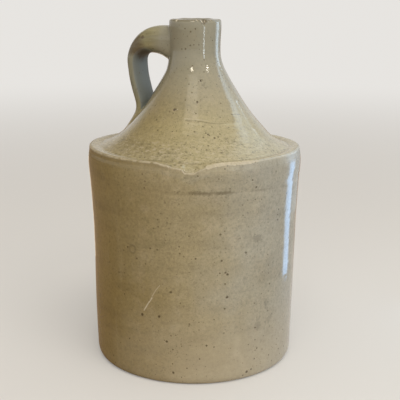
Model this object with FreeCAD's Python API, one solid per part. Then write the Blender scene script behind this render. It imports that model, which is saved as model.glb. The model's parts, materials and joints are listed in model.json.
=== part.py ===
"""A one-gallon stoneware shoulder jug: a thrown body, a coned top with a narrow neck, a strap handle.

Frame: +Z up, origin at the centre of the base. The handle lies in the XZ plane, on the -X side.
Sizes are in millimetres. The jug is one fired piece of clay, so it is one solid.
"""
import FreeCAD
import Part

import math
import os

Vector = FreeCAD.Vector

# Body: a nearly straight drum that swells into a collar just under the shoulder's rim.
BODY_HEIGHT = 181.8          # base to the top of the rim
BODY_RADIUS = 89.2           # widest part, in the collar
SWELL_DROP = 13.5            # rim's top down to the widest part
BASE_IN = 4.6                # how far inside the widest part the drum is, above the foot
DRUM_IN = 3.3                # the same, in the middle of the drum
DRUM_MIDDLE = 90.0           # height of that place
COLLAR_IN = 2.0              # the same, where the collar starts
COLLAR_DROP = 40.0           # rim's top down to there
RIM_IN = 1.6                 # the same, at the rim
FOOT_ROUND = 5.0
RIM_ROUND = 3.2
FOOT_LEAN = 0.02             # outwards for each unit up, just above the foot
RIM_LEAN = -0.3              # the same, just under the rim

# Shoulder: a narrow flat ledge inside the rim, then a shallow groove at the cone's foot.
LEDGE_WIDTH = 6.0
GROOVE_WIDTH = 3.6
GROOVE_DEPTH = 1.0
SKIRT_RISE = 0.35            # upwards for each unit in, where the cone leaves the groove

# Cone and neck.
CONE_HEIGHT = 62.0           # rim's top to where the neck starts
SKIRT_HEIGHT = 7.0           # rim's top to the top of the cone's flat skirt
SKIRT_RUN = 10.8             # how far the skirt runs in from the groove
CONE_MID_HEIGHT = 41.0       # rim's top to a place on the steep part of the cone
CONE_MID_RADIUS = 36.0
NECK_FOOT_RADIUS = 24.0      # neck, where the cone ends
NECK_WAIST_HEIGHT = 18.0     # above the neck's foot
NECK_WAIST_RADIUS = 20.2
NECK_HEIGHT = 40.2           # neck's foot to the mouth
MOUTH_RADIUS = 21.2
MOUTH_LEAN = 0.02            # outwards for each unit up, just under the lip
LIP_ROUND = 2.4

# Clay thickness and bore.
SIDE_WALL = 7.0
FLOOR = 9.0
CAVITY_ROUND = 14.0          # between the floor and the drum's inside
CAVITY_DROP = 22.0           # rim's top down to where the inside leaves the drum
BORE_RADIUS = 12.4
BORE_RISE = 8.0              # neck's foot up to where the bore is straight
BORE_ROUND = 1.8

# Strap handle: its middle line, measured from the neck's wall and the mouth.
ROOT_DROP = 21.0             # mouth down to the root, which is buried in the neck's wall
ROOT_LIFT = 0.25             # upwards for each unit out, where the root leaves the neck
ARM_REACH = 13.0             # neck's waist out to the arm's middle
ARM_DROP = 16.8
BEND_REACH = 27.6
BEND_DROP = 21.6
GRIP_REACH = 33.0
GRIP_DROP = 36.0
LOWER_REACH = 30.6
LOWER_DROP = 56.0
LANDING_RISE = 27.0          # rim's top up to where the strap comes down on the cone
LANDING_PROUD = 3.6          # strap's middle line outside the cone there
TAIL_RISE = 13.0             # rim's top up to the strap's end
TAIL_BURY = 2.6              # strap's middle line inside the cone there

# Strap handle: thickness in its plane and width across it.
ROOT_THICKNESS = 38.0
ARM_THICKNESS = 18.6
BEND_THICKNESS = 14.0
GRIP_THICKNESS = 8.8
TAIL_THICKNESS = 5.0
ROOT_WIDTH = 28.0
STRAP_WIDTH = 26.0
TAIL_WIDTH = 31.0
SECTION_SQUARENESS = 2.8     # 2 gives an ellipse and more gives squarer corners
SECTION_POINTS = 24

# Notch: a place where the rim's edge slumped outwards and down before the firing.
NOTCH_ANGLE = -68.5          # degrees about +Z from +X
NOTCH_DEPTH = 8.0            # below the rim's top, at the rim's face
NOTCH_SLOPE = 38.0           # degrees below the horizontal, going outwards
NOTCH_CURVE = 10.5           # radius of its rounded bottom

# Chip: a small flake lost from the mouth's outer edge.
CHIP_ANGLE = -47.0
CHIP_DEPTH = 3.6             # below the mouth
CHIP_WIDTH = 7.6
CHIP_BITE = 2.6              # in from the mouth's outer edge

BASE_RADIUS = BODY_RADIUS - BASE_IN
DRUM_RADIUS = BODY_RADIUS - DRUM_IN
RIM_RADIUS = BODY_RADIUS - RIM_IN
GROOVE_RADIUS = RIM_RADIUS - RIM_ROUND - LEDGE_WIDTH - GROOVE_WIDTH
SKIRT_RADIUS = GROOVE_RADIUS - SKIRT_RUN
NECK_START = BODY_HEIGHT + CONE_HEIGHT
JUG_HEIGHT = NECK_START + NECK_HEIGHT
CLEAR = 5.0                  # how far a cutting shape runs past the clay


def at(radius, height):
    """A point of a profile in the XZ plane."""
    return Vector(radius, 0, height)


def line(start, end):
    return Part.LineSegment(start, end).toShape()


def corner(start, bend, end):
    """A quarter round from start to end, tangent to the two lines that meet at bend."""
    centre = start + end - bend
    middle = centre + (bend - centre).normalize() * start.distanceToPoint(centre)
    return Part.Arc(start, middle, end).toShape()


def smooth(points, start_way, end_way):
    """A curve through the points that leaves and arrives in the given directions."""
    curve = Part.BSplineCurve()
    curve.interpolate(Points=points, InitialTangent=start_way, FinalTangent=end_way)
    return curve


def turned(edges):
    """The solid made by turning a closed profile about +Z."""
    face = Part.Face(Part.Wire(edges))
    return face.revolve(Vector(0, 0, 0), Vector(0, 0, 1), 360)


def drum_curve():
    """The drum's outside, from the foot's round to the rim's."""
    points = [
        at(BASE_RADIUS, FOOT_ROUND),
        at(DRUM_RADIUS, DRUM_MIDDLE),
        at(BODY_RADIUS - COLLAR_IN, BODY_HEIGHT - COLLAR_DROP),
        at(BODY_RADIUS, BODY_HEIGHT - SWELL_DROP),
        at(RIM_RADIUS, BODY_HEIGHT - RIM_ROUND),
    ]
    return smooth(points, Vector(FOOT_LEAN, 0, 1), Vector(RIM_LEAN, 0, 1))


def cone_curve():
    """The outside from the groove inside the ledge up the cone and the neck to the lip."""
    points = [
        at(GROOVE_RADIUS, BODY_HEIGHT),
        at(SKIRT_RADIUS, BODY_HEIGHT + SKIRT_HEIGHT),
        at(CONE_MID_RADIUS, BODY_HEIGHT + CONE_MID_HEIGHT),
        at(NECK_FOOT_RADIUS, NECK_START),
        at(NECK_WAIST_RADIUS, NECK_START + NECK_WAIST_HEIGHT),
        at(MOUTH_RADIUS, JUG_HEIGHT - LIP_ROUND),
    ]
    return smooth(points, Vector(-1, 0, SKIRT_RISE), Vector(MOUTH_LEAN, 0, 1))


DRUM = drum_curve()
CONE = cone_curve()


def cone_at(height):
    """The point of the cone's outside at a height, and the direction up along it there."""
    level = Part.Plane(at(0, height), Vector(0, 0, 1))
    hit = CONE.intersect(level)[0][0]
    point = at(hit.X, hit.Z)
    return point, Vector(*CONE.tangent(CONE.parameter(point))[0])


def cone_point(height, inwards):
    """The point that lies this far inwards of the cone's outside, square to it, from a height."""
    point, upwards = cone_at(height)
    return point + Vector(-upwards.z, 0, upwards.x) * inwards


def outside():
    """The jug's outer form, with no hollow and no handle."""
    foot_start = at(BASE_RADIUS - FOOT_ROUND, 0)
    foot_end = DRUM.value(DRUM.FirstParameter)
    rim_start = DRUM.value(DRUM.LastParameter)
    rim_end = at(RIM_RADIUS - RIM_ROUND, BODY_HEIGHT)
    groove_start = at(rim_end.x - LEDGE_WIDTH, BODY_HEIGHT)
    groove_middle = at(groove_start.x - GROOVE_WIDTH / 2, BODY_HEIGHT - GROOVE_DEPTH)
    cone_start = CONE.value(CONE.FirstParameter)
    lip_start = CONE.value(CONE.LastParameter)
    lip_end = at(MOUTH_RADIUS - LIP_ROUND, JUG_HEIGHT)
    return turned([
        line(at(0, 0), foot_start),
        corner(foot_start, at(BASE_RADIUS, 0), foot_end),
        DRUM.toShape(),
        corner(rim_start, at(RIM_RADIUS, BODY_HEIGHT), rim_end),
        line(rim_end, groove_start),
        Part.Arc(groove_start, groove_middle, cone_start).toShape(),
        CONE.toShape(),
        corner(lip_start, at(MOUTH_RADIUS, JUG_HEIGHT), lip_end),
        line(lip_end, at(0, JUG_HEIGHT)),
        line(at(0, JUG_HEIGHT), at(0, 0)),
    ])


def cavity():
    """The hollow: a round-cornered drum, the underside of the cone, and the bore out of the mouth."""
    side = DRUM_RADIUS - SIDE_WALL
    floor_end = at(side - CAVITY_ROUND, FLOOR)
    side_start = at(side, FLOOR + CAVITY_ROUND)
    side_end = at(side, BODY_HEIGHT - CAVITY_DROP)
    bore_start = at(BORE_RADIUS, NECK_START + BORE_RISE)
    bore_end = at(BORE_RADIUS, JUG_HEIGHT - BORE_ROUND)
    mouth = at(BORE_RADIUS + BORE_ROUND, JUG_HEIGHT)
    above = at(mouth.x, JUG_HEIGHT + CLEAR)
    under_cone = smooth([
        side_end,
        cone_point(BODY_HEIGHT + SKIRT_HEIGHT, SIDE_WALL),
        cone_point(BODY_HEIGHT + CONE_MID_HEIGHT, SIDE_WALL),
        bore_start,
    ], Vector(0, 0, 1), Vector(0, 0, 1))
    return turned([
        line(at(0, FLOOR), floor_end),
        corner(floor_end, at(side, FLOOR), side_start),
        line(side_start, side_end),
        under_cone.toShape(),
        line(bore_start, bore_end),
        corner(bore_end, at(BORE_RADIUS, JUG_HEIGHT), mouth),
        line(mouth, above),
        line(above, at(0, above.z)),
        line(at(0, above.z), at(0, FLOOR)),
    ])


def strap_line():
    """The strap's middle line, from inside the neck's wall to inside the cone's, and its points."""
    neck = NECK_WAIST_RADIUS
    points = [
        at(BORE_RADIUS, JUG_HEIGHT - ROOT_DROP),
        at(neck + ARM_REACH, JUG_HEIGHT - ARM_DROP),
        at(neck + BEND_REACH, JUG_HEIGHT - BEND_DROP),
        at(neck + GRIP_REACH, JUG_HEIGHT - GRIP_DROP),
        at(neck + LOWER_REACH, JUG_HEIGHT - LOWER_DROP),
        cone_point(BODY_HEIGHT + LANDING_RISE, -LANDING_PROUD),
        cone_point(BODY_HEIGHT + TAIL_RISE, TAIL_BURY),
    ]
    upwards = cone_at(BODY_HEIGHT + TAIL_RISE)[1]
    return points, smooth(points, Vector(1, 0, ROOT_LIFT), -upwards)


def strap_section(centre, along, thickness, width):
    """A rounded section of the strap, square to its middle line."""
    across = Vector(-along.z, 0, along.x)
    power = 2 / SECTION_SQUARENESS
    points = []
    for step in range(SECTION_POINTS):
        turn = 2 * math.pi * step / SECTION_POINTS
        cos, sin = math.cos(turn), math.sin(turn)
        out = math.copysign(abs(cos) ** power, cos) * thickness / 2
        side = math.copysign(abs(sin) ** power, sin) * width / 2
        points.append(centre + across * out + Vector(0, side, 0))
    ring = Part.BSplineCurve()
    ring.interpolate(Points=points, PeriodicFlag=True)
    return Part.Wire(ring.toShape())


def handle():
    """The strap, lofted along its middle line and turned to the -X side."""
    thicknesses = [ROOT_THICKNESS, ARM_THICKNESS, BEND_THICKNESS, GRIP_THICKNESS, GRIP_THICKNESS,
                   GRIP_THICKNESS, TAIL_THICKNESS]
    widths = [ROOT_WIDTH, STRAP_WIDTH, STRAP_WIDTH, STRAP_WIDTH, STRAP_WIDTH, STRAP_WIDTH, TAIL_WIDTH]
    points, middle = strap_line()
    sections = []
    for point, thickness, width in zip(points, thicknesses, widths):
        along = Vector(*middle.tangent(middle.parameter(point))[0])
        sections.append(strap_section(point, along, thickness, width))
    strap = Part.makeLoft(sections, True, False)
    strap.rotate(Vector(0, 0, 0), Vector(0, 0, 1), 180)
    return strap


def notch():
    """A round-bottomed cut that slopes out and down through the rim."""
    slope = math.radians(NOTCH_SLOPE)
    outwards = Vector(math.cos(slope), 0, -math.sin(slope))
    square_to = Vector(math.sin(slope), 0, math.cos(slope))
    start = at(RIM_RADIUS, BODY_HEIGHT - NOTCH_DEPTH) + square_to * NOTCH_CURVE
    length = RIM_RADIUS - SKIRT_RADIUS
    cut = Part.makeCylinder(NOTCH_CURVE, 2 * length, start - outwards * length, outwards)
    cut.rotate(Vector(0, 0, 0), Vector(0, 0, 1), NOTCH_ANGLE)
    return cut


def chip():
    """A three-sided flake out of the mouth's outer edge, deepest at its lower point."""
    top = JUG_HEIGHT + CLEAR
    spread = CHIP_WIDTH / 2 * (CHIP_DEPTH + CLEAR) / CHIP_DEPTH
    bite = CHIP_BITE * (CHIP_DEPTH + CLEAR) / CHIP_DEPTH
    tip = at(MOUTH_RADIUS, JUG_HEIGHT - CHIP_DEPTH)
    left = Vector(MOUTH_RADIUS + CLEAR, -spread, top)
    right = Vector(MOUTH_RADIUS + CLEAR, spread, top)
    back = at(MOUTH_RADIUS - bite, top)
    front = at(MOUTH_RADIUS + CLEAR, JUG_HEIGHT - CHIP_DEPTH)
    corners = [(tip, left, back), (tip, back, right), (left, right, back), (tip, front, left),
               (tip, right, front), (front, right, left)]
    faces = [Part.Face(Part.makePolygon([a, b, c, a])) for a, b, c in corners]
    cut = Part.Solid(Part.Shell(faces))
    cut.rotate(Vector(0, 0, 0), Vector(0, 0, 1), CHIP_ANGLE)
    return cut


def jug():
    clay = outside().fuse(handle())
    return clay.cut([cavity(), notch(), chip()]).removeSplitter()


os.makedirs("parts", exist_ok=True)
jug().exportStep("parts/jug.step")
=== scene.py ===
import json
import math

import bpy
from mathutils import Matrix, Vector, noise

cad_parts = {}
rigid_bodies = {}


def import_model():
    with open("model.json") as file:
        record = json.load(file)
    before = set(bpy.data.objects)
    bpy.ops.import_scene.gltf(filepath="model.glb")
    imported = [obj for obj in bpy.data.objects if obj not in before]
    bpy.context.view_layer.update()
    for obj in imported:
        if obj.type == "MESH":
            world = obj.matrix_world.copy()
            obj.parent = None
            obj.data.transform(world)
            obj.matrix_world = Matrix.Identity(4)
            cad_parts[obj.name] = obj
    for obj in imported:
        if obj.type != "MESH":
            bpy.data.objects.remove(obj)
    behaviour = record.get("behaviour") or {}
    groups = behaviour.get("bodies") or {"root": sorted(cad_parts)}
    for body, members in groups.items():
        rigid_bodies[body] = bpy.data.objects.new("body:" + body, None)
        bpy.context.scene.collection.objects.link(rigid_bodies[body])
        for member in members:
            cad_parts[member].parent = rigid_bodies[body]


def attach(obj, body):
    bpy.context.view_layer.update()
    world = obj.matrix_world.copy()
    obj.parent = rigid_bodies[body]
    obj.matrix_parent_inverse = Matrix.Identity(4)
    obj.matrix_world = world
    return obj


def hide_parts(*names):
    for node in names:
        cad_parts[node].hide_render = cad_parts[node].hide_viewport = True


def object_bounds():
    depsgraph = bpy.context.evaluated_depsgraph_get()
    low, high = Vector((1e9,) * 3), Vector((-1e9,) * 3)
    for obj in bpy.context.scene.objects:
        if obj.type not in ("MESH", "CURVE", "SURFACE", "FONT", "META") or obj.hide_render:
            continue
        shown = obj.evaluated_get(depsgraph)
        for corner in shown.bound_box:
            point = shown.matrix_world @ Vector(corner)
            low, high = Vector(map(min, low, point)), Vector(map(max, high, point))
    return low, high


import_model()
cad_low, cad_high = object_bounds()

# The jug's wall. Stoneware clay, thrown on a wheel as one hollow form: a straight drum, a collar and a
# flat shoulder ledge, a cone and a narrow neck with a bored mouth. Its outline is drawn once and spun.
MM = 0.001
TOP = cad_high[2]                       # mouth
WIDEST = (cad_high[1] - cad_low[1]) / 2
WALL = 7.0 * MM
FLOOR = 9.0 * MM
BORE = 12.4 * MM                        # radius of the hole through the neck
MOUTH = 21.0 * MM                       # radius of the mouth's outer edge
RIM_Z = TOP - 102.2 * MM                # shoulder ledge
NECK_Z = TOP - 40.2 * MM                # where the cone turns into the neck
FINE = 0.7 * MM                         # spacing of the outline's rows at the lip
EDGE = 0.9 * MM                         # the same around the shoulder's rim
PLAIN = 2.1 * MM                        # the same on the cone and the neck
DRUM = 4.0 * MM                         # the same on the drum
INSIDE = 12.0 * MM                      # the same where nothing shows
TURNS = 240                             # places around the wheel
WELD = 0.01 * MM                        # points closer than this are one


def wall_outline():
    """Radius, height and row spacing at each turn of the wall's outline, from under the base to the floor."""
    return [
        (0, 0.8 * MM, INSIDE),
        (WIDEST - 20 * MM, 0.8 * MM, INSIDE),
        (WIDEST - 14 * MM, 0.1 * MM, DRUM),
        (WIDEST - 9.3 * MM, 0, EDGE),
        (WIDEST - 6.2 * MM, 1.2 * MM, EDGE),
        (WIDEST - 4.75 * MM, 4.6 * MM, EDGE),
        (WIDEST - 4.5 * MM, 11 * MM, DRUM),
        (WIDEST - 3.75 * MM, 45 * MM, DRUM),
        (WIDEST - 3.3 * MM, 91 * MM, DRUM),
        (WIDEST - 2.5 * MM, 127 * MM, DRUM),
        (WIDEST - 1.2 * MM, 152 * MM, PLAIN),
        (WIDEST - 0.15 * MM, RIM_Z - 15 * MM, EDGE * 2),
        (WIDEST - 0.35 * MM, RIM_Z - 8 * MM, EDGE),
        (WIDEST - 1.2 * MM, RIM_Z - 3 * MM, EDGE),
        (WIDEST - 2.6 * MM, RIM_Z - 0.6 * MM, EDGE),
        (WIDEST - 4.8 * MM, RIM_Z, EDGE),
        (WIDEST - 8.6 * MM, RIM_Z - 0.5 * MM, EDGE),
        (WIDEST - 10.0 * MM, RIM_Z - 0.9 * MM, EDGE),
        (WIDEST - 11.6 * MM, RIM_Z - 0.1 * MM, EDGE),
        (WIDEST - 17.5 * MM, RIM_Z + 2.5 * MM, PLAIN),
        (WIDEST - 25.0 * MM, RIM_Z + 7.0 * MM, PLAIN),
        (56.5 * MM, RIM_Z + 14.2 * MM, PLAIN),
        (49.2 * MM, RIM_Z + 22.2 * MM, FINE),
        (46.2 * MM, RIM_Z + 26.0 * MM, PLAIN),
        (41.7 * MM, RIM_Z + 32.2 * MM, PLAIN),
        (35.3 * MM, RIM_Z + 42.2 * MM, PLAIN),
        (27.5 * MM, NECK_Z - 7 * MM, PLAIN),
        (23.2 * MM, NECK_Z + 2 * MM, PLAIN),
        (21.0 * MM, NECK_Z + 12 * MM, PLAIN),
        (20.8 * MM, NECK_Z + 22 * MM, PLAIN),
        (21.3 * MM, TOP - 9 * MM, PLAIN),
        (21.4 * MM, TOP - 3 * MM, FINE),
        (20.9 * MM, TOP - 0.8 * MM, FINE),
        (18.8 * MM, TOP, FINE),
        (15.4 * MM, TOP - 0.3 * MM, FINE),
        (BORE + 0.5 * MM, TOP - 1.6 * MM, FINE),
        (BORE, TOP - 4.5 * MM, PLAIN),
        (BORE, NECK_Z + 8 * MM, INSIDE),
        (17.8 * MM, NECK_Z - 10 * MM, INSIDE),
        (35.0 * MM, RIM_Z + 31 * MM, INSIDE),
        (60.5 * MM, RIM_Z + 1 * MM, INSIDE),
        (WIDEST - 11.5 * MM, RIM_Z - 14 * MM, INSIDE),
        (WIDEST - 3.3 * MM - WALL, RIM_Z - 24 * MM, INSIDE),
        (WIDEST - 3.3 * MM - WALL, FLOOR + 14 * MM, INSIDE),
        (WIDEST - 7.5 * MM - WALL, FLOOR + 4 * MM, INSIDE),
        (WIDEST - 17.3 * MM - WALL, FLOOR, INSIDE),
        (0, FLOOR, INSIDE),
    ]


def rows_through(outline):
    """Evenly spaced points on a smooth curve through the outline's points."""
    corners = [Vector((radius, height)) for radius, height, spacing in outline]
    rows = []
    for i in range(len(corners) - 1):
        start, end = corners[i], corners[i + 1]
        span = (end - start).length
        before = corners[i - 1] if i else start
        after = corners[i + 2] if i + 2 < len(corners) else end
        leave = (end - before).normalized() * span
        arrive = (after - start).normalized() * span
        count = max(1, round(span / outline[i][2]))
        for step in range(count):
            t = step / count
            rows.append(
                start * (2 * t**3 - 3 * t**2 + 1)
                + leave * (t**3 - 2 * t**2 + t)
                + end * (3 * t**2 - 2 * t**3)
                + arrive * (t**3 - t**2)
            )
    rows.append(corners[-1])
    return rows


rows = rows_through(wall_outline())
bpy.ops.object.select_all(action="DESELECT")
bpy.ops.mesh.primitive_plane_add(size=MM, location=(rows[0].x, 0, rows[0].y))
jug = bpy.context.object
jug.name = "jug_clay"
bpy.ops.object.transform_apply()
bpy.ops.object.mode_set(mode="EDIT")
bpy.ops.mesh.select_all(action="SELECT")
bpy.ops.mesh.merge(type="CENTER")
for previous, row in zip(rows, rows[1:]):
    step = row - previous
    bpy.ops.mesh.extrude_region_move(TRANSFORM_OT_translate={"value": (step.x, 0, step.y)})
bpy.ops.mesh.select_all(action="SELECT")
bpy.ops.mesh.spin(steps=TURNS, angle=2 * math.pi, center=(0, 0, 0), axis=(0, 0, 1))
bpy.ops.mesh.select_all(action="SELECT")
bpy.ops.mesh.remove_doubles(threshold=WELD)
bpy.ops.mesh.normals_make_consistent(inside=False)
bpy.ops.object.mode_set(mode="OBJECT")
for name in ("wall_glaze", "strap_glaze"):
    jug.data.materials.append(bpy.data.materials.new(name))

# The handle. A strap of the same clay, pulled by hand, pressed onto the neck's wall and bent down to the
# cone, where its end is wiped flat. It stands in the XZ plane on the -X side and fires as one with the wall.
STRAP_WIDTH = 26.0 * MM
STRAP = [                                # out from the axis, height, heading below level, thickness, width
    (14.0 * MM, TOP - 20.0 * MM, -12, 34.0 * MM, 0.98),
    (20.5 * MM, TOP - 19.4 * MM, -10, 29.4 * MM, 0.98),
    (27.0 * MM, TOP - 17.8 * MM, -6, 25.4 * MM, 0.97),
    (35.0 * MM, TOP - 17.2 * MM, 6, 23.6 * MM, 1.0),
    (43.0 * MM, TOP - 19.0 * MM, 26, 21.0 * MM, 1.0),
    (49.6 * MM, TOP - 23.8 * MM, 50, 16.4 * MM, 1.0),
    (53.2 * MM, TOP - 30.0 * MM, 72, 13.0 * MM, 1.0),
    (54.2 * MM, TOP - 38.0 * MM, 88, 11.8 * MM, 1.0),
    (53.3 * MM, TOP - 47.0 * MM, 98, 11.4 * MM, 1.0),
    (51.1 * MM, TOP - 56.5 * MM, 103, 11.4 * MM, 1.0),
    (48.3 * MM, TOP - 66.0 * MM, 102, 11.2 * MM, 1.0),
    (47.2 * MM, TOP - 74.0 * MM, 88, 10.8 * MM, 1.03),
    (50.6 * MM, TOP - 81.0 * MM, 66, 9.6 * MM, 1.07),
    (55.3 * MM, TOP - 87.5 * MM, 52, 8.2 * MM, 1.14),
    (59.2 * MM, TOP - 92.5 * MM, 44, 6.2 * MM, 1.22),
    (63.0 * MM, TOP - 96.0 * MM, 38, 4.0 * MM, 1.28),
]
OVAL = ((0.5, 0.6), (0.25, 0.92))        # place across the strap, its share of the full thickness there
ROUNDING = 3                             # times that the strap's faces are divided
WIPED_FROM = TOP - 60 * MM               # below this the strap starts to wrap round the cone
WIPED_BY = TOP - 78 * MM
bpy.ops.object.select_all(action="DESELECT")
out, height, heading, thickness, width = STRAP[0]
bpy.ops.mesh.primitive_grid_add(x_subdivisions=2, y_subdivisions=4, size=1, location=(-out, 0, height))
strap = bpy.context.object
strap.name = "jug_strap"
bpy.ops.object.mode_set(mode="EDIT")
bpy.ops.mesh.select_all(action="DESELECT")
bpy.ops.object.mode_set(mode="OBJECT")
for y_share, squeeze in OVAL:
    for vertex in strap.data.vertices:
        vertex.select = abs(abs(vertex.co.y) - y_share) < 0.01
    bpy.ops.object.mode_set(mode="EDIT")
    bpy.ops.transform.resize(value=(squeeze, 1, 1), center_override=(-out, 0, height))
    bpy.ops.object.mode_set(mode="OBJECT")
bpy.ops.object.mode_set(mode="EDIT")
bpy.ops.mesh.select_all(action="SELECT")
bpy.ops.transform.resize(value=(thickness, STRAP_WIDTH * width, 1), center_override=(-out, 0, height))


def turn_strap(degrees, middle):
    """Turns the selected section about the Y axis."""
    bpy.ops.transform.rotate(value=-math.radians(degrees), orient_axis="Y", center_override=middle)


turn_strap(90 - heading, (-out, 0, height))
for before, after in zip(STRAP, STRAP[1:]):
    out, height, heading, thickness, width = before
    middle = (-out, 0, height)
    move = (out - after[0], 0, after[1] - height)
    swell = (after[3] / thickness, after[4] / width, 1)
    bpy.ops.mesh.extrude_region_move(TRANSFORM_OT_translate={"value": (0, 0, 0)})
    turn_strap(heading - 90, middle)
    bpy.ops.transform.resize(value=swell, center_override=middle)
    turn_strap(90 - after[2], middle)
    bpy.ops.transform.translate(value=move)
bpy.ops.mesh.select_all(action="SELECT")
bpy.ops.mesh.normals_make_consistent(inside=False)
bpy.ops.object.mode_set(mode="OBJECT")
bpy.ops.object.transform_apply()
round_off = strap.modifiers.new("round", "SUBSURF")
round_off.levels = ROUNDING
round_off.render_levels = ROUNDING
bpy.ops.object.modifier_apply(modifier="round")
for vertex in strap.data.vertices:       # the wiped end follows the cone's round
    share = min(1, max(0, (WIPED_FROM - vertex.co.z) / (WIPED_FROM - WIPED_BY)))
    reach = vertex.co.xy.length
    vertex.co.x += share * (abs(vertex.co.x) - math.sqrt(max(0, 2 * vertex.co.x**2 - reach**2)))
for name in ("wall_glaze", "strap_glaze"):
    strap.data.materials.append(bpy.data.materials[name])
for face in strap.data.polygons:
    face.material_index = 1

bpy.ops.object.select_all(action="DESELECT")
jug.select_set(True)
bpy.context.view_layer.objects.active = jug
joined = jug.modifiers.new("join", "BOOLEAN")
joined.operation = "UNION"
joined.object = strap
joined.solver = "EXACT"
bpy.ops.object.modifier_apply(modifier="join")
bpy.data.objects.remove(strap)

# Slip worked into the joins: the seam between strap and wall is found by its two glazes and smoothed over.
# The joined mesh comes with its points in no fixed order, so they are sorted first, by distance from one
# place off to a side. The weld then picks the same points each time.
SORT_FROM = (0.31, -0.73, 0.97)
SEAM_WELD = 0.35 * MM
bpy.context.scene.cursor.location = SORT_FROM
bpy.ops.object.mode_set(mode="EDIT")
bpy.ops.mesh.select_all(action="SELECT")
bpy.ops.mesh.sort_elements(type="CURSOR_DISTANCE", elements={"VERT", "EDGE", "FACE"})
bpy.ops.mesh.select_mode(type="FACE")
bpy.ops.mesh.select_all(action="DESELECT")
jug.active_material_index = 1
bpy.ops.object.material_slot_select()
bpy.ops.mesh.region_to_loop()
bpy.ops.mesh.select_mode(type="VERT")
bpy.ops.mesh.select_more()
bpy.ops.mesh.remove_doubles(threshold=SEAM_WELD)
bpy.ops.mesh.select_more()
bpy.ops.mesh.vertices_smooth(factor=0.5, repeat=5)
bpy.ops.mesh.select_more()
bpy.ops.mesh.vertices_smooth(factor=0.5, repeat=4)
bpy.ops.object.mode_set(mode="OBJECT")

# Wear and firing faults. The front of the rim slumped into a notch before it was fired, the rim beside it
# flaked, the mouth has a small V-shaped chip, and the whole pot is a little out of true.
NOTCH = [                                # angle around the pot, how far the rim sinks there
    (-86, 0), (-80, 1.7 * MM), (-76, 3.7 * MM), (-72.6, 4.3 * MM), (-70.2, 7.4 * MM), (-66.6, 7.5 * MM),
    (-62.2, 4.7 * MM), (-59, 2.3 * MM), (-55, 0.6 * MM), (-50, 0),
]
FLAKE = [                                # angle, how deep the rim's edge flaked
    (-61, 0), (-59, 0.85 * MM), (-54, 0.8 * MM), (-51, 0.8 * MM), (-44, 0.85 * MM), (-38, 0.8 * MM),
    (-34, 0.5 * MM), (-28, 0.2 * MM), (-20, 0),
]
CHIP_ANGLE = -46.5
CHIP_HALF = 3.9 * MM                     # half its width
CHIP_DROP = 4.0 * MM                     # how far down it reaches
CHIP_BITE = 3.2 * MM                     # how far in it reaches
OFF_MIDDLE = [                           # height, how far the cone was drawn off the middle
    (RIM_Z + 1 * MM, 0), (RIM_Z + 20 * MM, 0.9 * MM), (NECK_Z - 4 * MM, 0.9 * MM),
    (NECK_Z + 10 * MM, 0.1 * MM),
]
AIM_AROUND = math.radians(24)            # the camera stands this far round from -Y
TO_THE_RIGHT = Vector((math.cos(AIM_AROUND), math.sin(AIM_AROUND), 0))    # the cone leans this way
PITS = [                                 # angle, height, half width, depth: gas pits in the cone
    (-56.5, RIM_Z + 54.9 * MM, 1.5 * MM, 0.9 * MM), (-89.5, RIM_Z + 32.9 * MM, 1.7 * MM, 1.1 * MM),
]
FINER = [                                # cuts, first and last angle, lowest and highest, least radius:
    # the notch's edge, the wall and ledge around it, the rim to its left and right, two pits and the mouth
    (3, -88, -31, RIM_Z - 6 * MM, RIM_Z + 1 * MM, WIDEST - 6.5 * MM),
    (1, -88, -31, RIM_Z - 30 * MM, RIM_Z + 4 * MM, WIDEST - 13 * MM),
    (1, -155, -88, RIM_Z - 5 * MM, RIM_Z + 1 * MM, WIDEST - 6 * MM),
    (1, -31, 40, RIM_Z - 5 * MM, RIM_Z + 1 * MM, WIDEST - 6 * MM),
    (2, -66, -44, RIM_Z + 53 * MM, RIM_Z + 58 * MM, 22 * MM),
    (2, -94, -85, RIM_Z + 30.5 * MM, RIM_Z + 35.5 * MM, 36 * MM),
    (2, -72, -20, TOP - 5.5 * MM, TOP + 1 * MM, 16 * MM),
]


def refine(cuts, low_angle, high_angle, low_z, high_z, least_reach):
    """Divides the wall's outer faces between two angles and two heights more finely."""
    for vertex in jug.data.vertices:
        vertex.select = False
    for edge in jug.data.edges:
        edge.select = False
    for face in jug.data.polygons:
        middle = face.center
        face.select = (
            low_angle < math.degrees(math.atan2(middle.y, middle.x)) < high_angle
            and low_z < middle.z < high_z
            and middle.xy.length > least_reach
        )
    bpy.ops.object.mode_set(mode="EDIT")
    bpy.ops.mesh.select_mode(type="FACE")
    bpy.ops.mesh.subdivide(number_cuts=cuts)
    bpy.ops.object.mode_set(mode="OBJECT")


def blend(value, low, high):
    """0 at low, 1 at high, and a smooth rise between; low above high turns it round."""
    t = min(1, max(0, (value - low) / (high - low)))
    return t * t * (3 - 2 * t)


def between(points, at):
    """Reads a drawn line, given as (position, value) pairs, at one position."""
    if at <= points[0][0]:
        return points[0][1]
    for (start, low), (end, high) in zip(points, points[1:]):
        if at <= end:
            return low + (high - low) * blend(at, start, end)
    return points[-1][1]


def ridge(value, middle, half):
    """1 at the middle, falling away smoothly on both sides."""
    return math.exp(-((value - middle) / half) ** 2)


def rough(*at):
    """Smooth noise from -1 to 1 at three coordinates."""
    return noise.noise(Vector(at))


for patch in FINER:
    refine(*patch)


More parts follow.
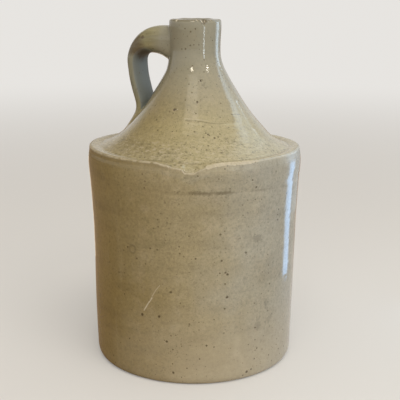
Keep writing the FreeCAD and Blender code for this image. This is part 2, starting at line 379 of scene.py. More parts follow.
def break_mouth(spot, outward, angle, reach, height):
    """Breaks the chip and small nicks out of the mouth's uneven edge. Gives how bare that leaves the clay."""
    across = abs(math.radians(angle - CHIP_ANGLE)) * reach
    lack = 1 - across / CHIP_HALF - (TOP - height) / CHIP_DROP - (MOUTH - reach) / CHIP_BITE
    if lack > 0:
        spot.z -= lack * CHIP_DROP * 0.5
        spot -= outward * lack * CHIP_BITE * 0.5
    nick = blend(rough(angle * 0.21, height * 400, 5), 0.12, 0.5)
    nick *= blend(reach, 18.6 * MM, 20 * MM) * blend(height, TOP - 2.2 * MM, TOP - 1.0 * MM)
    spot -= (outward + Vector((0, 0, 0.7))) * nick * 0.5 * MM
    spot.z += rough(outward.x * 2, outward.y * 2, 3) * 0.4 * MM
    return 0.9 * nick


def slump_rim(spot, outward, angle, reach, height):
    """Rounds the shoulder's rim, sinks it into the notch and flakes it. Gives how worn that leaves it, and
    where a highlight is painted on the notch's lip and under the flaked strip.
    """
    grit = noise.noise(spot * 260)
    left = 1 - blend(angle, -84, -74) if angle > -170 else 0
    corner = Vector((reach - (WIDEST - 2.1 * MM), height - (RIM_Z - 1.0 * MM)))
    near = max(0, 1 - corner.length / (3.4 * MM)) ** 1.5
    spot += (outward * 0.95 + Vector((0, 0, 0.6))) * near * MM * (0.55 + 0.45 * left)

    # The notch, and the lip of clay that its lowest stretch pushed up. A pale line along the lip is a painted
    # highlight.
    sag = between(NOTCH, angle)
    ledge = min(1, max(0, (reach - (WIDEST - 12 * MM)) / (10.5 * MM)))
    wall = blend(height, RIM_Z - 28 * MM, RIM_Z - 2.5 * MM)
    on_ledge = blend(reach, WIDEST - 2.6 * MM, WIDEST - 4.6 * MM) if height > RIM_Z - 2 * MM else 0
    spot.z -= sag * (ledge * on_ledge + wall * (1 - on_ledge))
    bead = ridge(reach, WIDEST - 1.9 * MM, 0.8 * MM) * blend(height, RIM_Z - 2.4 * MM, RIM_Z - 1.2 * MM)
    spot.z += bead * blend(sag, 1.0 * MM, 4.0 * MM) * 0.7 * MM
    thin = 0.45 + 0.9 * rough(angle * 0.4, 3, 7)
    on_lip = blend(sag, 0.4 * MM, 2.0 * MM) * (1 - 0.8 * blend(angle, -62, -60))
    # Painted highlight: a pale line along the crest of the lip.
    wear_and_glint = max(0, bead**2 * on_lip * (0.25 + 0.75 * thin))

    # The flaked strip: a slanting cut across the edge, deeper in some places, with a painted highlight along
    # its lower edge.
    flake = between(FLAKE, angle)
    if flake > 0:
        facet = rough(angle * 0.55, height * 260, 1)
        depth = flake * (1.0 + 0.25 * facet + 0.25 * noise.noise(spot * 700))
        drop = (RIM_Z - sag - spot.z) / (3.9 * MM) + (WIDEST - spot.xy.length) / (4.4 * MM)
        lack = (0.52 + depth / (2.6 * MM)) - drop
        if lack > 0:
            spot.z -= lack * 1.7 * MM
            spot -= outward * lack * 1.7 * MM
        # Painted highlight along the flaked strip's lower edge.
        lower_edge_glint = blend(lack, -0.03, 0.03) * (1 - blend(lack, 0.10, 0.30))
        lower_edge_glint *= blend(WIDEST - reach, 1.2 * MM, 0.4 * MM)
        film = blend(lack, -0.02, 0.06) * (0.46 + 0.35 * facet)
        wear_and_glint = max(wear_and_glint, (film + lower_edge_glint * (0.8 + grit)) * min(1, flake / (0.5 * MM)))

    # Small pits along the edge, and glaze rubbed thin on it.
    pits = blend(rough(angle * 0.9, height * 300, 9), 0.2, 0.6) * near
    spot -= (outward + Vector((0, 0, 0.8))) * pits * 0.45 * MM
    rubbed = blend(near, 0.42, 0.8) * blend(rough(angle * 0.5, height * 160, 2), -0.6, 0.2)
    return max(wear_and_glint, rubbed * (0.26 + 0.16 * left))


def make_by_hand(spot, outward, angle, reach, height):
    """Gives slight rings, an uneven round, gas pits, two grooves, a leaning cone and a lower far side."""
    if reach > 20 * MM or height > NECK_Z:
        swell = rough(outward.x * 1.1, outward.y * 1.1, height * 16) * 0.35
        swell += rough(outward.x * 0.3, outward.y * 0.3, height * 95) * 0.12
        spot += outward * swell * MM * blend(reach, 8 * MM, 40 * MM)
    for pit_angle, pit_height, half, depth in PITS:
        far_off = math.hypot(math.radians(angle - pit_angle) * reach * 0.8, (height - pit_height) * 1.3)
        spot -= outward * depth * (1 - blend(far_off, 0.2 * half, half))
    groove = ridge(height, RIM_Z + 24.4 * MM - (angle + 55) * 0.0745 * MM, 0.5 * MM)
    spot -= outward * groove * 0.3 * MM * blend(angle, -80, -72) * (1 - blend(angle, -36, -28))
    collar = ridge(height, RIM_Z - 23.5 * MM, 1.9 * MM) * blend(reach, 84 * MM, 86 * MM)
    spot -= outward * collar * 0.35 * MM * blend(angle, -110, -66) * (1 - blend(angle, 5, 30))
    spot += TO_THE_RIGHT * between(OFF_MIDDLE, height)
    far = max(0, math.cos(math.radians(angle - 100))) * blend(reach, 56 * MM, 66 * MM)
    spot.z -= far * 1.9 * MM * blend(height, RIM_Z - 12 * MM, RIM_Z - 4 * MM)


# How worn each point is; this also holds the painted highlights on the notch's lip and the flake.
worn_and_glint = jug.data.attributes.new("worn_and_glint", "FLOAT", "POINT")
# Painted shade on the handle's inner face, which is turned to the neck.
neck_facing_shade = jug.data.attributes.new("neck_facing_shade", "FLOAT", "POINT")
facing = [vertex.normal.copy() for vertex in jug.data.vertices]
for vertex in jug.data.vertices:
    spot = vertex.co
    reach = spot.xy.length
    if reach < 1 * MM:
        continue
    angle = math.degrees(math.atan2(spot.y, spot.x))
    outward = Vector((spot.x, spot.y, 0)) / reach
    height = spot.z
    wear_and_glint = 0.0
    if reach > 14 * MM and height > TOP - 6 * MM:
        wear_and_glint = break_mouth(spot, outward, angle, reach, height)
    if reach > WIDEST - 14 * MM and height > RIM_Z - 30 * MM:
        wear_and_glint = slump_rim(spot, outward, angle, reach, height)
    worn_and_glint.data[vertex.index].value = min(1.0, wear_and_glint)
    # Painted shade on the strap's inner face, turned to the neck, fading out towards the top.
    inner_face = blend(facing[vertex.index].x - 0.35 * facing[vertex.index].z, 0.1, 0.6)
    on_strap = blend(-spot.x, 27 * MM, 36 * MM) * blend(height, RIM_Z + 18 * MM, RIM_Z + 30 * MM)
    neck_facing_shade.data[vertex.index].value = inner_face * on_strap * blend(height, TOP - 12 * MM, TOP - 20 * MM)
    make_by_hand(spot, outward, angle, reach, height)
bpy.ops.object.shade_smooth()

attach(jug, "root")
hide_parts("jug")

# The finish. Salt glaze over grey-buff stoneware: a thin clear gloss, olive where the flame reached it,
# peppered with iron specks, pale where it has worn off an edge, and marked by scratches and spots. Its
# colours also hold painted light: painted shade on the left and on the handle's inner face, a painted
# bluish reflection on the right, painted bounce light low down and painted highlights on the rim and a pit.
GLAZE = (0.318, 0.264, 0.154)            # the wall's colour in the middle of its range
OLIVE_AND_SHADE = (0.194, 0.132, 0.036)            # where the flame toasted it, and painted shade with warm bounce light on the left
GREY_AND_SHEEN = (0.348, 0.337, 0.286)             # where the salt lies thicker, with a painted bluish window reflection on the right
SAND = (0.345, 0.292, 0.152)             # the ledge and the cone's skirt
COOL = (0.262, 0.248, 0.188)             # the neck, furthest from the flame
SHADE = (0.232, 0.200, 0.094)            # the handle
ASHEN = (0.210, 0.206, 0.165)            # the handle's upright part
BARE_AND_GLINT = (0.575, 0.500, 0.375)             # clay where the glaze has worn off; also the brightest painted highlight under the flaked strip
PALE_FILM_AND_LIGHT = (0.475, 0.400, 0.280)             # a thin pale film of glaze; also used for painted bounce light and painted highlights
IRON = (0.075, 0.050, 0.026)             # iron specks
RUST = (0.105, 0.080, 0.040)             # iron that bled into the glaze
STAIN = (0.088, 0.060, 0.034)            # the dark patches on the handle's bend and under the chip
INNER_SHADE = (0.130, 0.142, 0.130)            # painted shade inside the handle, on the face turned to the neck
FLAME_AND_SHADE_SIDE = Vector((math.cos(math.radians(198)), math.sin(math.radians(198)), 0))    # near the handle: the toasted side, which also gets painted shade
RELIEF = 0.22 * MM                       # depth of the glaze's unevenness


class Signal:
    """A value, place or colour in a node tree. Arithmetic on signals adds Math nodes."""

    def __init__(self, tree, socket=None):
        self.tree, self.socket = tree, socket

    def node(self, kind, settings, sockets, output=0):
        """Adds a node with its settings, then gives its sockets their values or links."""
        made = self.tree.nodes.new(kind)
        for name, value in settings.items():
            setattr(made, name, value)
        for key, value in sockets.items():
            if isinstance(value, Signal):
                self.tree.links.new(value.socket, made.inputs[key])
            else:
                made.inputs[key].default_value = value
        return Signal(self.tree, made.outputs[output])

    def output(self, name):
        """Another output of the node that this signal comes from."""
        return Signal(self.tree, self.socket.node.outputs[name])

    def math(self, operation, *others):
        """Adds a Math node that starts from this value."""
        return self.node("ShaderNodeMath", {"operation": operation}, dict(enumerate((self, *others))))

    def __add__(self, other):
        return self.math("ADD", other)

    def __sub__(self, other):
        return self.math("SUBTRACT", other)

    def __rsub__(self, other):
        return self.node("ShaderNodeMath", {"operation": "SUBTRACT"}, {0: other, 1: self})

    def __mul__(self, other):
        return self.math("MULTIPLY", other)

    __radd__ = __add__
    __rmul__ = __mul__

    def rise(self, low, high):
        """0 at low, 1 at high, and a smooth rise between; low above high turns it round."""
        sockets = {"Value": self, "From Min": low, "From Max": high, "To Min": 0.0, "To Max": 1.0}
        return self.node("ShaderNodeMapRange", {"interpolation_type": "SMOOTHSTEP"}, sockets)

    def clamp(self):
        """The same value, kept from 0 to 1."""
        return self.node("ShaderNodeClamp", {}, {0: self})

    def stray(self, noise, by):
        """The same value, moved by a noise to at most half of by either way."""
        return self + (noise - 0.5) * by

    def vector(self, operation, sockets, output=0):
        """Adds a Vector Math node that starts from this place or colour."""
        return self.node("ShaderNodeVectorMath", {"operation": operation}, {0: self, **sockets}, output)

    def noise(self, scale, detail=2.0, rough=0.5):
        """Noise from 0 to 1 at a place."""
        sockets = {"Vector": self, "Scale": scale, "Detail": detail, "Roughness": rough}
        return self.node("ShaderNodeTexNoise", {}, sockets)

    def stretch(self, x, y, z):
        """The same place, with its axes stretched."""
        return self.vector("MULTIPLY", {1: (x, y, z)})

    def away(self, point):
        """Distance from a point."""
        return self.vector("DISTANCE", {1: point}, "Value")

    def along(self, direction):
        """How far a place reaches along a direction."""
        return self.vector("DOT_PRODUCT", {1: direction}, "Value")

    def tint(self, colour, share):
        """This colour, covered by another to a share of 0 to 1."""
        if not isinstance(colour, Signal):
            colour = (*colour, 1)
        return self.node("ShaderNodeMix", {"data_type": "RGBA"}, {0: share, 6: self, 7: colour}, 2)

    def fade(self, first, second):
        """One colour where this value is 0 and another where it is 1."""
        sockets = {0: self, 6: (*first, 1), 7: (*second, 1)}
        return self.node("ShaderNodeMix", {"data_type": "RGBA"}, sockets, 2)

    def darker(self, share):
        """The same colour, darker by a share; below 0 it is lighter."""
        return self.vector("SCALE", {"Scale": 1 - share})


def extreme(operation, signals):
    """The MAXIMUM or MINIMUM of several signals at each place."""
    best, *others = signals
    for other in others:
        best = best.math(operation, other)
    return best


def wall_point(angle, height):
    """The point of the outer wall at an angle around the pot and a height in mm."""
    outward = Vector((math.cos(math.radians(angle)), math.sin(math.radians(angle)), 0))
    outside = outward * 3 * WIDEST + Vector((0, 0, height * MM))
    return jug.ray_cast(outside, -outward)[1]


glaze = bpy.data.materials.new("salt_glaze")
glaze.use_nodes = True
shader = glaze.node_tree.nodes["Principled BSDF"]
start = Signal(glaze.node_tree)
place = start.node("ShaderNodeTexCoord", {}, {}, "Object")
x = start.node("ShaderNodeSeparateXYZ", {}, {0: place})
z = x.output("Z")
wear_and_glint = start.node("ShaderNodeAttribute", {"attribute_name": "worn_and_glint"}, {}, "Fac")
inner_shaded = start.node("ShaderNodeAttribute", {"attribute_name": "neck_facing_shade"}, {}, "Fac")
reach = place.stretch(1, 1, 0).vector("LENGTH", {}, "Value")
toward = place.along(FLAME_AND_SHADE_SIDE)

clouds = place.noise(22, 3.0)
patches = place.noise(75, 3.0, 0.6)
runs = place.stretch(1, 1, 0.12).noise(140)
grain = place.noise(420, 2.0, 0.65)
grit = place.noise(1100, 2.0, 0.7)
blots = place.noise(230, 3.0, 0.6)
bands = place.stretch(0.25, 0.25, 1.0).noise(90)
flecks = place.stretch(1, 1, 2.2).noise(300, 3.0, 0.65)
gather = place.stretch(1, 1, 0.7).noise(34).rise(0.47, 0.66)    # where the iron lies closer together

inside_rim = reach.rise(WIDEST - 2.3 * MM, WIDEST - 3.5 * MM)
inside_rim = inside_rim * z.rise(RIM_Z - 16.8 * MM, RIM_Z - 11.8 * MM)
drum = 1 - inside_rim
skirt = inside_rim * z.stray(patches, 30 * MM).rise(RIM_Z + 50.2 * MM, RIM_Z + 14.2 * MM)
peppered = inside_rim * z.stray(patches, 30 * MM).rise(RIM_Z + 32.2 * MM, RIM_Z + 4.2 * MM)
shelf = inside_rim * z.stray(patches, 20 * MM).rise(RIM_Z + 18.2 * MM, RIM_Z + 4.2 * MM)
groove = (reach - (WIDEST - 10 * MM)).math("ABSOLUTE").rise(1.3 * MM, 0.3 * MM)
groove = groove * z.rise(RIM_Z - 3.8 * MM, RIM_Z - 1.8 * MM)
foot = z.stray(patches, 16 * MM).rise(14 * MM, 3 * MM)

# Flame and salt: toasted on one side, greyer on the other, with soft clouds and faint upright runs. The
# toasted side also holds painted shade and warm bounce light, and the grey side a painted bluish
# reflection of the window.
flame_and_shade = toward.math("DIVIDE", reach).stray(clouds, 0.5).rise(-0.28, 0.88) * (0.62 + drum * 0.38)
# Greyer on the right: thicker salt, and a painted bluish reflection of the window.
salt_and_sheen = toward.stray(clouds, 80 * MM).rise(-5 * MM, -85 * MM)
colour = (salt_and_sheen * 0.8).fade(GLAZE, GREY_AND_SHEEN)
colour = colour.tint(SAND, skirt * 0.75)
# The olive tint is partly toasting and partly painted shade, a little stronger low on the wall.
colour = colour.tint(OLIVE_AND_SHADE, flame_and_shade * (0.80 + z.rise(150 * MM, 20 * MM) * 0.18))
colour = colour.tint(PALE_FILM_AND_LIGHT, patches.rise(0.5, 0.78) * (0.24 - flame_and_shade * 0.2) + runs.rise(0.52, 0.8) * 0.08)
banding = bands.rise(0.5, 0.3) * 0.10 - bands.rise(0.55, 0.75) * 0.07
colour = colour.darker(patches.rise(0.46, 0.22) * 0.10 + banding)
colour = colour.darker(grain.rise(0.52, 0.28) * 0.17 - grain.rise(0.52, 0.75) * 0.12 + (grit - 0.5) * 0.42)
colour = colour.darker(blots.rise(0.62, 0.76) * (0.10 + gather * 0.22 + peppered * 0.12))
# Painted bounce light from the floor: paler low on the wall, less so on the shaded left.
colour = colour.tint(PALE_FILM_AND_LIGHT, z.stray(clouds, 30 * MM).rise(80 * MM, 12 * MM) * (0.46 - flame_and_shade * 0.40))
colour = colour.tint(RUST, groove * patches.rise(0.3, 0.6) * 0.35 * toward.rise(52 * MM, 20 * MM))
colour = colour.tint(PALE_FILM_AND_LIGHT, shelf * flecks.rise(0.52, 0.66) * 0.42)
colour = colour.darker(shelf * flecks.rise(0.46, 0.32) * 0.36)
colour = colour.tint(PALE_FILM_AND_LIGHT, foot * blots.rise(0.45, 0.62) * 0.26 * salt_and_sheen.math("MAXIMUM", 0.35))
colour = colour.tint(COOL, z.stray(clouds, 30 * MM).rise(RIM_Z + 18.2 * MM, TOP - 18 * MM) * 0.8)

# The handle: darker than the wall, streaked along the strap as it was pulled, with painted shade on its
# inner face, which is turned to the neck.
shaded = x.stray(patches, 12 * MM).rise(-24 * MM, -36 * MM) * z.rise(RIM_Z + 18.2 * MM, RIM_Z + 30.2 * MM)
handle = x.stray(patches, 6 * MM).rise(-26 * MM, -32 * MM) * z.rise(RIM_Z + 18.2 * MM, RIM_Z + 24.2 * MM)
on_arm = z.rise(TOP - 32 * MM, TOP - 22 * MM)
grip = handle * (1 - on_arm) * z.rise(RIM_Z + 23.2 * MM, RIM_Z + 46.2 * MM)
streaks = place.stretch(0.1, 1, 1).noise(460) * on_arm + place.stretch(1, 1, 0.1).noise(460) * (1 - on_arm)
colour = colour.tint(SHADE, shaded * 0.8)
colour = colour.tint(ASHEN, grip * 0.65)
colour = colour.darker(handle * (streaks.rise(0.5, 0.68) * 0.16 - streaks.rise(0.5, 0.32) * 0.10))
colour = colour.tint(INNER_SHADE, inner_shaded * 0.88)


# Iron: small specks everywhere, closer together on the ledge and skirt, and larger ones that stand out.
def specks(scale, least, most, share, shift):
    """Round specks, one in each of a share of the cells; they grow with the cell's own number."""
    moved = place.vector("ADD", {1: (shift, shift, shift)})
    cells = moved.node("ShaderNodeTexVoronoi", {}, {"Vector": moved, "Scale": scale, "Randomness": 1.0})
    chance = cells.node("ShaderNodeSeparateColor", {}, {0: cells.output("Color")})
    edge = chance.output("Green") * (most - least) * scale + least * scale
    return (edge - cells.stray(grain, 0.12)).rise(0.0, 0.12) * (share - chance).rise(0.0, 0.01)


SPOTS = [                                # angle, height in mm, size in mm, strength
    (-94.5, 57, 1.5, 0.9), (-84.5, 57.5, 1.4, 0.9), (-80.5, 37, 1.3, 0.85), (-59, 34.5, 1.1, 0.8),
    (-77, 10.5, 1.2, 0.8), (-103, 111, 1.1, 0.8), (-89, 113, 1, 0.8), (-78, 79, 1.3, 0.7),
    (-65, 107, 1, 0.8), (-51.5, 104.5, 1.1, 0.8), (-38, 109, 1.1, 0.7), (-52.5, 94.5, 1, 0.8),
    (-49.5, 94.5, 1, 0.7), (-35.5, 7, 1.6, 0.95), (-32.5, 8, 1.1, 0.8), (-65, 277, 0.9, 0.7),
    (-76, 264, 0.8, 0.6), (-68.5, 264.5, 0.8, 0.6), (-57.5, 264.5, 0.8, 0.6), (-24, 267.5, 0.9, 0.6),
    (-56.5, 236.5, 1.2, 1), (-89.5, 214.5, 1.4, 1), (-62.5, 221, 0.9, 0.7), (-55, 198, 1, 0.8),
    (-50, 195.5, 1.2, 0.8), (-92, 172, 1, 0.6), (-90.5, 166.5, 1, 0.7), (-91, 161.5, 1.1, 0.7),
    (-36, 167, 1, 0.7), (-33.5, 161, 1.1, 0.8), (-97, 103, 1.2, 0.7),
]
STAINS = [                               # middle, how torn, how ragged, outer and inner radius, strength
    (Vector((-42, -12.4, 268.8)) * MM, 0, 3 * MM, 2.4 * MM, 1.0 * MM, 0.8),
    (Vector((-50, -11, 262)) * MM, 14 * MM, 6 * MM, 13 * MM, 4 * MM, 0.8),
    (Vector((-45, -6, 258)) * MM, 9 * MM, 0, 11 * MM, 4 * MM, 0.8),
    (wall_point(CHIP_ANGLE, 282.2), 0, 2 * MM, 3.6 * MM, 2.2 * MM, 0.5),
]
fine = specks(290, 0.45 * MM, 1.0 * MM, 0.13 + gather * 0.42 + peppered * 0.42, 0.31)
bold = specks(125, 0.7 * MM, 1.4 * MM, 0.20 + gather * 0.26, 0.72)
dust = specks(560, 0.3 * MM, 0.6 * MM, 0.16 + gather * 0.2 + peppered * 0.5, 0.11)
spots = extreme("MAXIMUM", (
    place.away(wall_point(angle, height)).stray(grain, 1.2 * MM).rise(size * MM, 0.45 * size * MM) * strength
    for angle, height, size, strength in SPOTS
))
stains = extreme("MAXIMUM", (
    place.away(middle).stray(patches, torn).stray(grain, ragged).rise(outer, inner) * strength
    for middle, torn, ragged, outer, inner, strength in STAINS
))
colour = colour.tint(RUST, (fine * 0.74).math("MAXIMUM", dust * 0.46))
colour = colour.tint(IRON, bold * 0.88)
colour = colour.tint(IRON, spots)
colour = colour.tint(STAIN, stains)


def mark(points, width, soft=0.5):
    """A line drawn on the wall through (angle, height in mm) points: 1 on it and 0 beside it."""
    drawn = [wall_point(angle, height) for angle, height in points]
    gaps = []
    for begin, end in zip(drawn, drawn[1:]):
        run = end - begin
        offset = place.vector("SUBTRACT", {1: begin})
        share = (offset.along(run) * (1 / run.length_squared)).clamp()
        gaps.append(offset.away(offset.vector("SCALE", {0: run, "Scale": share})))
    return extreme("MINIMUM", gaps).stray(grain, width * MM).rise(width * MM, width * MM * (1 - soft))


# Marks: the scratch, a smudged line below the shoulder, two pale upright smears low on the right, a
# blister, the drawn grooves on the cone with a pale edge above one of them, a painted highlight on a
# gas pit's rim and a few cloudy smudges.
scratch = extreme("MAXIMUM", (
    mark([(-84, 83.5), (-86.3, 79), (-88.2, 74)], 0.5) * 0.45,
    mark([(-88.4, 72.5), (-91.2, 66), (-93.2, 61)], 0.75, 0.7) * grain.rise(0.3, 0.5),
))
smudge = extreme("MAXIMUM", (
    mark([(-67, 159.6), (-60, 158.7), (-48, 158.9)], 2.6, 0.95) * 0.5,
    mark([(-48, 158.7), (-30, 157.9), (-12, 156.8)], 1.4, 0.9) * 0.28,
))
# Two soft pale upright smears low on the wall, right of the middle.
smear = extreme("MAXIMUM", (
    mark([(-42, 38), (-42, 24)], 5.0, 1.0) * (0.18 + grit * 0.3),
    mark([(-40, 22), (-36, 9)], 3.4, 1.0) * (0.15 + grit * 0.3),
))
grooves = extreme("MAXIMUM", (
    mark([(-74.5, 207.6), (-62.5, 207.2), (-54, 206.1), (-45.5, 205), (-35.5, 204.7)], 0.5, 0.8) * 0.3,
    mark([(-60, 206.9), (-54, 206.0), (-47, 205.2)], 0.5, 0.7) * 0.42,
    mark([(-114, 200.1), (-96, 201.3)], 0.5, 0.8) * 0.3,
    mark([(-25, 210.8), (-12.5, 209.8)], 0.55, 0.8) * 0.42,
))
CLOUDY = [                               # angle, height in mm, size in mm
    (-29.5, 46, 5.0), (-24, 62.5, 5.5), (-21, 48, 4.5), (-31, 118, 5.0), (-54, 233.4, 2.4),
]
from_blister = place.away(wall_point(-99.7, 110.3))
blister = from_blister.rise(4.4 * MM, 3.4 * MM) * from_blister.rise(1.8 * MM, 2.8 * MM)
colour = colour.darker(grooves)
colour = colour.tint(PALE_FILM_AND_LIGHT, mark([(-76, 208.9), (-62.5, 208.3), (-52, 207.1)], 0.5, 0.8) * 0.4)
# Painted highlight: a pale crescent on the right of the gas pit.
colour = colour.tint(PALE_FILM_AND_LIGHT, mark([(-87.4, 214.6), (-85.2, 215.2)], 0.7, 0.8) * 0.7)
for angle, height, size in CLOUDY:
    cloudy = place.away(wall_point(angle, height)).stray(blots, 26 * MM)
    colour = colour.darker(cloudy.rise(size * MM, 0.1 * size * MM) * 0.20)
colour = colour.tint(RUST, smudge)
colour = colour.tint(RUST, blister * 0.3)
colour = colour.tint(PALE_FILM_AND_LIGHT, smear)
colour = colour.tint(BARE_AND_GLINT, scratch * 0.7)

# Wear: bare clay and pale glaze at the edges, with the painted highlights on the notch's lip and along
# the flaked strip's lower edge.
lip = z.rise(TOP - 1.9 * MM, TOP - 0.9 * MM) * (1 - wear_and_glint)
colour = colour.tint(RUST, lip * (0.25 + grain * 0.5))
colour = colour.tint(PALE_FILM_AND_LIGHT, wear_and_glint.rise(0.08, 0.4) * (0.2 + grain * 0.7))
colour = colour.tint(BARE_AND_GLINT, wear_and_glint.rise(0.45, 0.9) * (0.3 + grain * 0.8))

# Gloss and relief: dull where it is worn, on the handle's inner face, or gritty, and dented by specks and
# marks.
under_rim = z.rise(RIM_Z - 10.8 * MM, RIM_Z - 5.8 * MM) * z.rise(RIM_Z + 2.2 * MM, RIM_Z + 0.2 * MM) * drum
dull = 0.05 + patches * 0.07 + wear_and_glint.rise(0.05, 0.4) * 0.34 + inner_shaded * 0.42 + shelf * 0.12
dull = dull + handle * 0.06 + under_rim * 0.20
relief = place.noise(190, 3.0, 0.55) * 0.5 + place.stretch(1, 1, 4).noise(70) * 0.8 + grain * 0.12
relief = relief + shelf * flecks * 0.5 + handle * streaks * 1.1 + blister * 0.8
relief = relief - (fine * 0.25 + bold * 0.35 + spots * 0.3 + scratch * 0.6)
bumps = relief.node("ShaderNodeBump", {}, {"Strength": 1.0, "Distance": RELIEF, "Height": relief})
for name, signal in (("Base Color", colour), ("Roughness", dull), ("Normal", bumps)):
    glaze.node_tree.links.new(signal.socket, shader.inputs[name])
shader.inputs["IOR"].default_value = 1.5
jug.data.materials.clear()
jug.data.materials.append(glaze)
for face in jug.data.polygons:
    face.material_index = 0

# Floor and backdrop: a pale, matt floor in a pale room. It takes the jug's shadow, and with distance it
# fades into the backdrop.
BACKDROP = (0.80, 0.78, 0.75)
bpy.ops.mesh.primitive_plane_add(size=80, location=(0, 0, 0))
floor = bpy.context.object
floor.name = "floor"
pale = bpy.data.materials.new("pale_floor")
pale.use_nodes = True
cloth = pale.node_tree.nodes["Principled BSDF"]
cloth.inputs["Base Color"].default_value = (0.62, 0.59, 0.545, 1)
cloth.inputs["Roughness"].default_value = 0.8


def seen_in(tree):
    """1 where the camera sees the surface, straight or in a glossy or clear thing."""
    rays = Signal(tree).node("ShaderNodeLightPath", {}, {}, "Is Camera Ray")
    return (rays + rays.output("Is Glossy Ray") + rays.output("Is Transmission Ray")).math("MINIMUM", 1.0)


seen = seen_in(pale.node_tree)
haze = seen.node("ShaderNodeEmission", {}, {"Color": (*BACKDROP, 1), "Strength": 1.0})
spread = seen.node("ShaderNodeTexCoord", {}, {}, "Object").away(Vector((0, 0, 0))).rise(0.35, 2.2)
shares = {0: seen * (spread * 0.75 + 0.25), 1: Signal(pale.node_tree, cloth.outputs[0]), 2: haze}
lit = seen.node("ShaderNodeMixShader", {}, shares)
pale.node_tree.links.new(lit.socket, pale.node_tree.nodes["Material Output"].inputs["Surface"])
floor.data.materials.append(pale)

# A brown mat under the jug's left and back, seen only in the glaze, as a dark table would be. It fades out
# towards the right, where the floor shows bright in the glaze.
bpy.ops.object.select_all(action="DESELECT")
bpy.ops.mesh.primitive_circle_add(vertices=96, radius=6, fill_type="NGON", location=(0, 0, 0.4 * MM))
mat = bpy.context.object
mat.name = "brown_mat"
mat.visible_camera = False
mat.visible_diffuse = False
mat.visible_shadow = False
mat.visible_transmission = False
felt = bpy.data.materials.new("brown_felt")
felt.use_nodes = True
cover = felt.node_tree.nodes["Principled BSDF"]
cover.inputs["Base Color"].default_value = (0.38, 0.25, 0.145, 1)
cover.inputs["Roughness"].default_value = 0.9
where = Signal(felt.node_tree).node("ShaderNodeTexCoord", {}, {}, "Object")
on_mat = where.vector("NORMALIZE", {}).along(FLAME_AND_SHADE_SIDE).rise(-0.75, -0.05)
clear = where.node("ShaderNodeBsdfTransparent", {}, {})
shares = {0: on_mat, 1: clear, 2: Signal(felt.node_tree, cover.outputs[0])}
covered = where.node("ShaderNodeMixShader", {}, shares)
felt.node_tree.links.new(covered.socket, felt.node_tree.nodes["Material Output"].inputs["Surface"])
mat.data.materials.append(felt)

# The room. The light that it sheds is dim and warm from the left and bright from above. Seen straight or in
# the glaze it is plain, and dark only high up on the left.
DIM = (0.275, 0.235, 0.18)
BRIGHT = (0.42, 0.44, 0.465)
CEILING = (1.02, 1.0, 0.96)
world = bpy.data.worlds.new("room")
bpy.context.scene.world = world
world.use_nodes = True
sky = Signal(world.node_tree).node("ShaderNodeTexCoord", {}, {}, "Generated")
rightward = sky.along(TO_THE_RIGHT)
upward = sky.node("ShaderNodeSeparateXYZ", {}, {0: sky}, "Z")
glow = rightward.rise(-0.9, 0.7).fade(DIM, BRIGHT).tint(CEILING, upward.rise(0.25, 1.0) * 0.8)
behind = (upward.rise(0.2, 0.5) * rightward.rise(0.3, -0.5)).fade(BACKDROP, DIM)
glow = glow.tint(behind, seen_in(world.node_tree))
world.node_tree.links.new(glow.socket, world.node_tree.nodes["Background"].inputs["Color"])

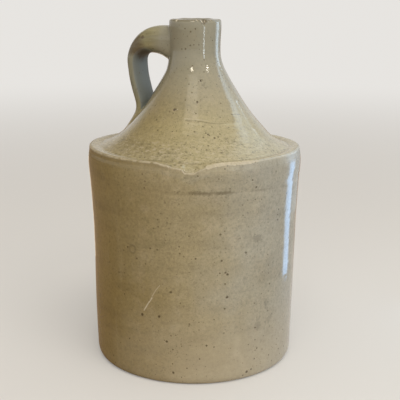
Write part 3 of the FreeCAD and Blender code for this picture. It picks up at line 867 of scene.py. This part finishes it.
# Light: one broad lamp above the front, which lights the jug. The others are seen only in its glaze, as two
# windows with their haze, a pale wall and two small bulbs would be.
MIDDLE = 0.16                            # height that a slanting lamp is aimed at
LAMPS = [                                # name, bearing, height, aimed at, away, width, tall, watts, colour
    ("key", -48, 1.62, MIDDLE, 1.19, 1.6, 1.6, 29, (1.0, 0.985, 0.955)),
    ("spark", -82, 0.96, MIDDLE, 1.1, 0.13, 0.17, 1.5, (1.0, 0.90, 0.72)),
    ("second_spark", -14, 0.96, MIDDLE, 1.1, 0.13, 0.17, 3.4, (1.0, 0.94, 0.82)),
    ("window", 40, 0.36, 0.36, 0.31, 0.075, 0.40, 0.14, (0.50, 0.72, 1.0)),
    ("low_window", 43.7, 0.08, 0.08, 0.252, 0.055, 0.15, 0.085, (0.32, 0.60, 1.0)),
    ("window_top", 50.5, 0.25, MIDDLE, 0.31, 0.09, 0.16, 0.16, (0.62, 0.82, 1.0)),
    ("window_haze", 60, 0.255, MIDDLE, 0.36, 0.34, 0.50, 0.16, (0.50, 0.75, 1.0)),
    ("far_window", -27, 0.27, 0.27, 0.40, 0.022, 0.14, 0.11, (0.75, 0.88, 1.0)),
    ("pale_wall", 142, 0.08, 0.08, 0.27, 0.06, 0.15, 0.028, (1.0, 0.88, 0.68)),
    ("sheen", -79, 1.28, MIDDLE, 0.62, 0.50, 0.52, 1.1, (1.0, 0.93, 0.78)),
    ("high_haze", 56, 0.52, MIDDLE, 0.36, 0.30, 0.30, 0.26, (0.62, 0.86, 1.0)),
]
for name, bearing, height, aim_height, away, width, tall, watts, tone in LAMPS:
    light = bpy.data.lights.new(name, "AREA")
    light.shape = "RECTANGLE"
    light.size = width
    light.size_y = tall
    light.energy = watts
    light.color = tone
    lamp = bpy.data.objects.new(name, light)
    bpy.context.collection.objects.link(lamp)
    lamp.location = (away * math.cos(math.radians(bearing)), away * math.sin(math.radians(bearing)), height)
    aim = Vector((0, 0, aim_height)) - lamp.location
    lamp.rotation_euler = aim.to_track_quat("-Z", "Y").to_euler()
    lamp.visible_camera = False
    lamp.visible_diffuse = name == "key"
    lamp.visible_glossy = name != "key"      # the pale room gives the key's soft sheen

# Camera: in front of the jug, turned a little to the side away from its handle, just above its mouth and
# looking slightly down.
AIM_DOWN = math.radians(14.106)
ROLL = math.radians(0.25)
STAND = Vector((4.63 * MM, -707.4 * MM, 309.6 * MM))
camera = bpy.data.objects.new("camera", bpy.data.cameras.new("camera"))
bpy.context.collection.objects.link(camera)
bpy.context.scene.camera = camera
camera.data.lens = 76.5
camera.data.sensor_width = 36
around = Matrix.Rotation(AIM_AROUND, 3, "Z")
camera.location = around @ STAND
aim = around @ Matrix.Rotation(math.pi / 2 - AIM_DOWN, 3, "X") @ Matrix.Rotation(ROLL, 3, "Z")
camera.rotation_euler = aim.to_euler()
bpy.context.scene.view_settings.view_transform = "Standard"
